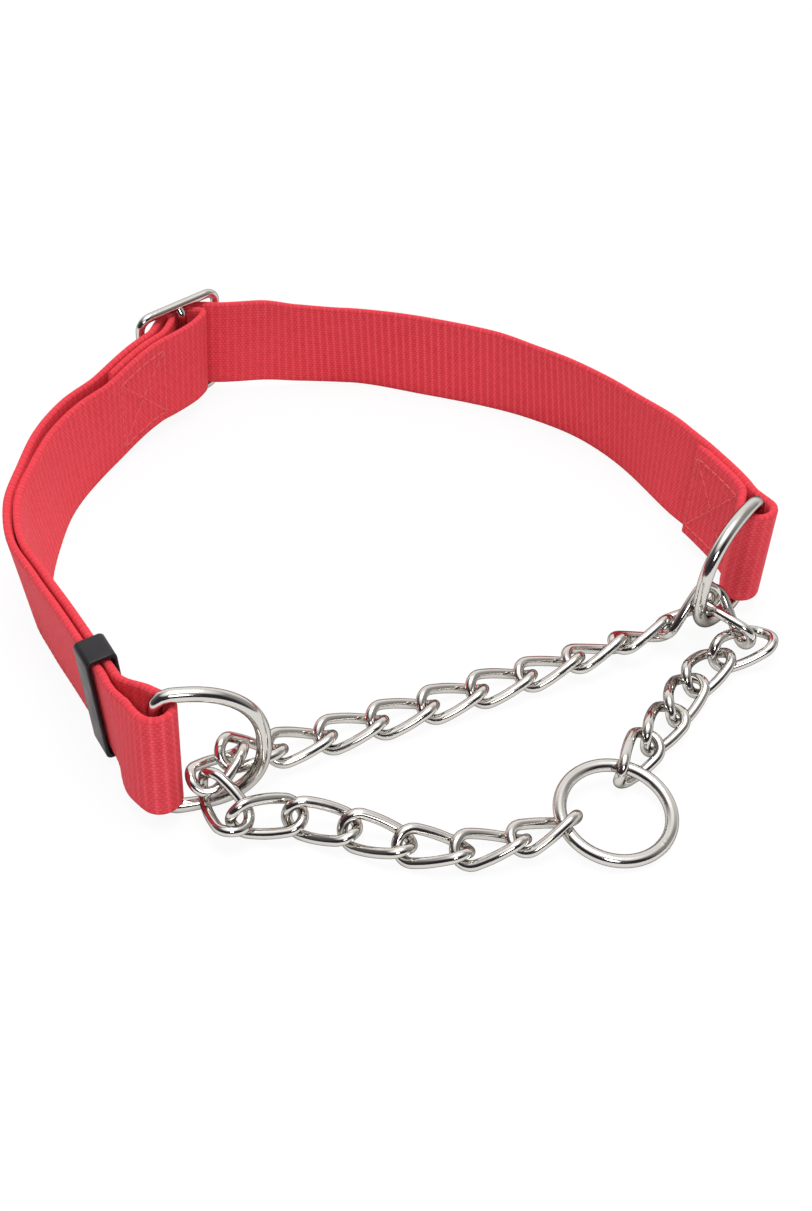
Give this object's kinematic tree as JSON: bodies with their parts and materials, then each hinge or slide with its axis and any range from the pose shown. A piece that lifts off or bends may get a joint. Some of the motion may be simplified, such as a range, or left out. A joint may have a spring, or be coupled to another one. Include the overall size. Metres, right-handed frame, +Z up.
{
  "type": "martingale collar",
  "caption": "Adjustable martingale dog collar: folded nylon webbing strap with a wire slide and keeper, closed by a loop of twisted curb chain with a leash ring.",
  "frame": {"origin": "middle of the collar's footprint on the table", "axes": "+Z up the width of the strap, +Y to the back of the neck, +X to the right as seen from the chain's side"},
  "size_m": [0.1678, 0.1656, 0.0308],
  "materials": {
    "webbing": "woven ribbed nylon",
    "thread": "bonded nylon thread",
    "metal": "bright nickel plate on steel wire",
    "plastic": "satin moulded acetal"
  },
  "bodies": {
    "strap": {"webbing": "webbing", "right_stitch": "thread", "left_stitch": "thread"},
    "back_link_01": {"back_link_01": "metal"},
    "back_link_02": {"back_link_02": "metal"},
    "back_link_03": {"back_link_03": "metal"},
    "back_link_04": {"back_link_04": "metal"},
    "back_link_05": {"back_link_05": "metal"},
    "back_link_06": {"back_link_06": "metal"},
    "back_link_07": {"back_link_07": "metal"},
    "back_link_08": {"back_link_08": "metal"},
    "back_link_09": {"back_link_09": "metal"},
    "back_link_10": {"back_link_10": "metal"},
    "back_link_11": {"back_link_11": "metal"},
    "front_link_01": {"front_link_01": "metal"},
    "front_link_02": {"front_link_02": "metal"},
    "front_link_03": {"front_link_03": "metal"},
    "front_link_04": {"front_link_04": "metal"},
    "front_link_05": {"front_link_05": "metal"},
    "front_link_06": {"front_link_06": "metal"},
    "front_link_07": {"front_link_07": "metal"},
    "front_link_08": {"front_link_08": "metal"},
    "keeper": {"keeper": "plastic"},
    "leash_ring": {"leash_ring": "metal"},
    "left_dee": {"left_dee": "metal"},
    "right_dee": {"right_dee": "metal"},
    "right_link_01": {"right_link_01": "metal"},
    "right_link_02": {"right_link_02": "metal"},
    "right_link_03": {"right_link_03": "metal"},
    "right_link_04": {"right_link_04": "metal"},
    "right_link_05": {"right_link_05": "metal"},
    "slide": {"slide": "metal"}
  },
  "joints": [
    {"name": "keeper_slide", "type": "slide", "parent": "strap", "child": "keeper", "axis": [0.491, -0.8711, -0.0085], "range_m": [-0.004, 0.003]},
    {"name": "slide_tilt", "type": "hinge", "parent": "strap", "child": "slide", "pos_m": [-0.05177, 0.07129, 0.01525], "axis": [0.0656, -0.0768, 0.9949], "range_deg": [-3.5, 3.5]},
    {"name": "left_dee_swing", "type": "hinge", "parent": "strap", "child": "left_dee", "pos_m": [-0.04372, -0.06518, 0.0155], "axis": [0.0226, 0.1167, 0.9929], "range_deg": [-2.5, 1.2]},
    {"name": "right_dee_swing", "type": "hinge", "parent": "strap", "child": "right_dee", "pos_m": [0.07873, -0.00359, 0.0153], "axis": [0.0587, 0.02, 0.9981], "range_deg": [-0.4, 1.5]},
    {"name": "front_link_01_roll", "type": "hinge", "parent": "strap", "child": "front_link_01", "pos_m": [-0.02961, -0.05724, 0.0075], "axis": [-0.6316, -0.7752, 0.0096], "range_deg": [-0.5, 8.5]},
    {"name": "back_run_sway", "type": "hinge", "parent": "strap", "child": "back_link_01", "pos_m": [-0.03161, -0.05854, 0.0087], "axis": [0, 0, 1], "range_deg": [-5, 5]},
    {"name": "back_link_02_sway", "type": "hinge", "parent": "back_link_01", "child": "back_link_02", "pos_m": [-0.02247, -0.05349, 0.00431], "axis": [0, 0, 1], "range_deg": [-1.45, 1.45]},
    {"name": "back_link_03_sway", "type": "hinge", "parent": "back_link_02", "child": "back_link_03", "pos_m": [-0.01252, -0.04843, 0.00276], "axis": [0, 0, 1], "range_deg": [-1.25, 1.25]},
    {"name": "back_link_04_sway", "type": "hinge", "parent": "back_link_03", "child": "back_link_04", "pos_m": [-0.00193, -0.04435, 0.00287], "axis": [0, 0, 1], "range_deg": [-1.55, 1.55]},
    {"name": "back_link_05_sway", "type": "hinge", "parent": "back_link_04", "child": "back_link_05", "pos_m": [0.00852, -0.03995, 0.00289], "axis": [0, 0, 1], "range_deg": [-1.45, 1.45]},
    {"name": "back_link_06_sway", "type": "hinge", "parent": "back_link_05", "child": "back_link_06", "pos_m": [0.01889, -0.03534, 0.0029], "axis": [0, 0, 1], "range_deg": [-1.45, 1.45]},
    {"name": "back_link_07_sway", "type": "hinge", "parent": "back_link_06", "child": "back_link_07", "pos_m": [0.02933, -0.03091, 0.0029], "axis": [0, 0, 1], "range_deg": [-1.4, 1.4]},
    {"name": "back_link_08_sway", "type": "hinge", "parent": "back_link_07", "child": "back_link_08", "pos_m": [0.03979, -0.02657, 0.00348], "axis": [0, 0, 1], "range_deg": [-1.55, 1.55]},
    {"name": "back_link_09_sway", "type": "hinge", "parent": "back_link_08", "child": "back_link_09", "pos_m": [0.0501, -0.02188, 0.004], "axis": [0, 0, 1], "range_deg": [-1.4, 1.4]},
    {"name": "back_link_10_sway", "type": "hinge", "parent": "back_link_09", "child": "back_link_10", "pos_m": [0.06019, -0.01764, 0.0046], "axis": [0, 0, 1], "range_deg": [-4.75, 4.75]},
    {"name": "front_loop_lift", "type": "hinge", "parent": "strap", "child": "front_link_02", "pos_m": [-0.03491, -0.06504, 0.0073], "axis": [-0.935, -0.354, 0.0217], "range_deg": [0, 20]},
    {"name": "right_link_lift", "type": "hinge", "parent": "strap", "child": "right_link_01", "pos_m": [0.08129, -0.02104, 0.0046], "axis": [-0.935, -0.354, 0.0217], "range_deg": [0, 20]},
    {"name": "back_link_11_roll", "type": "hinge", "parent": "back_link_10", "child": "back_link_11", "pos_m": [0.06999, -0.01254, 0.0096], "axis": [0.5924, -0.6841, -0.4255], "range_deg": [-18.5, 0.5]},
    {"name": "front_run_sway", "type": "hinge", "parent": "front_link_02", "child": "front_link_03", "pos_m": [-0.02841, -0.07294, 0.0056], "axis": [0, 0, 1], "range_deg": [-8, 8]},
    {"name": "front_link_04_sway", "type": "hinge", "parent": "front_link_03", "child": "front_link_04", "pos_m": [-0.01781, -0.07104, 0.0041], "axis": [0, 0, 1], "range_deg": [-5.72, 5.72]},
    {"name": "front_link_05_sway", "type": "hinge", "parent": "front_link_04", "child": "front_link_05", "pos_m": [-0.0069, -0.07364, 0.0035], "axis": [0, 0, 1], "range_deg": [-4.44, 4.44]},
    {"name": "front_link_06_sway", "type": "hinge", "parent": "front_link_05", "child": "front_link_06", "pos_m": [0.00367, -0.07735, 0.003], "axis": [0, 0, 1], "range_deg": [-1.24, 1.24]},
    {"name": "front_link_07_sway", "type": "hinge", "parent": "front_link_06", "child": "front_link_07", "pos_m": [0.01477, -0.07873, 0.0028], "axis": [0, 0, 1], "range_deg": [-0.36, 0.36]},
    {"name": "front_link_08_sway", "type": "hinge", "parent": "front_link_07", "child": "front_link_08", "pos_m": [0.02573, -0.07649, 0.00321], "axis": [0, 0, 1], "range_deg": [-1.16, 1.16]},
    {"name": "right_run_sway", "type": "hinge", "parent": "right_link_01", "child": "right_link_02", "pos_m": [0.07119, -0.02534, 0.0034], "axis": [0, 0, 1], "range_deg": [-8, 8]},
    {"name": "right_link_03_sway", "type": "hinge", "parent": "right_link_02", "child": "right_link_03", "pos_m": [0.06419, -0.03324, 0.0034], "axis": [0, 0, 1], "range_deg": [-3.32, 3.32]},
    {"name": "right_link_04_sway", "type": "hinge", "parent": "right_link_03", "child": "right_link_04", "pos_m": [0.05926, -0.04269, 0.0038], "axis": [0, 0, 1], "range_deg": [-8.84, 8.84]},
    {"name": "right_link_05_sway", "type": "hinge", "parent": "right_link_04", "child": "right_link_05", "pos_m": [0.05317, -0.05141, 0.0046], "axis": [0, 0, 1], "range_deg": [-5.48, 5.48]},
    {"name": "leash_ring_spin", "type": "hinge", "parent": "right_link_01", "child": "leash_ring", "pos_m": [0.04499, -0.06934, 0.00329], "axis": [0.1116, -0.133, 0.9848], "continuous": true}
  ],
  "couplings": [
    {"joint": "back_link_02_sway", "follows": "back_run_sway", "ratio": -0.25},
    {"joint": "back_link_03_sway", "follows": "back_run_sway", "ratio": -0.21},
    {"joint": "back_link_04_sway", "follows": "back_run_sway", "ratio": -0.27},
    {"joint": "back_link_05_sway", "follows": "back_run_sway", "ratio": -0.25},
    {"joint": "back_link_06_sway", "follows": "back_run_sway", "ratio": -0.25},
    {"joint": "back_link_07_sway", "follows": "back_run_sway", "ratio": -0.24},
    {"joint": "back_link_08_sway", "follows": "back_run_sway", "ratio": -0.27},
    {"joint": "back_link_09_sway", "follows": "back_run_sway", "ratio": -0.24},
    {"joint": "back_link_10_sway", "follows": "back_run_sway", "ratio": 0.91},
    {"joint": "right_link_lift", "follows": "front_loop_lift", "ratio": 1},
    {"joint": "front_link_01_roll", "follows": "front_loop_lift", "ratio": 0.4},
    {"joint": "back_link_11_roll", "follows": "front_loop_lift", "ratio": -0.9},
    {"joint": "front_link_04_sway", "follows": "front_run_sway", "ratio": -0.69},
    {"joint": "front_link_05_sway", "follows": "front_run_sway", "ratio": -0.53},
    {"joint": "front_link_06_sway", "follows": "front_run_sway", "ratio": -0.13},
    {"joint": "front_link_07_sway", "follows": "front_run_sway", "ratio": 0.02},
    {"joint": "front_link_08_sway", "follows": "front_run_sway", "ratio": -0.12},
    {"joint": "right_link_03_sway", "follows": "right_run_sway", "ratio": -0.39},
    {"joint": "right_link_04_sway", "follows": "right_run_sway", "ratio": -1.08},
    {"joint": "right_link_05_sway", "follows": "right_run_sway", "ratio": -0.66}
  ]
}
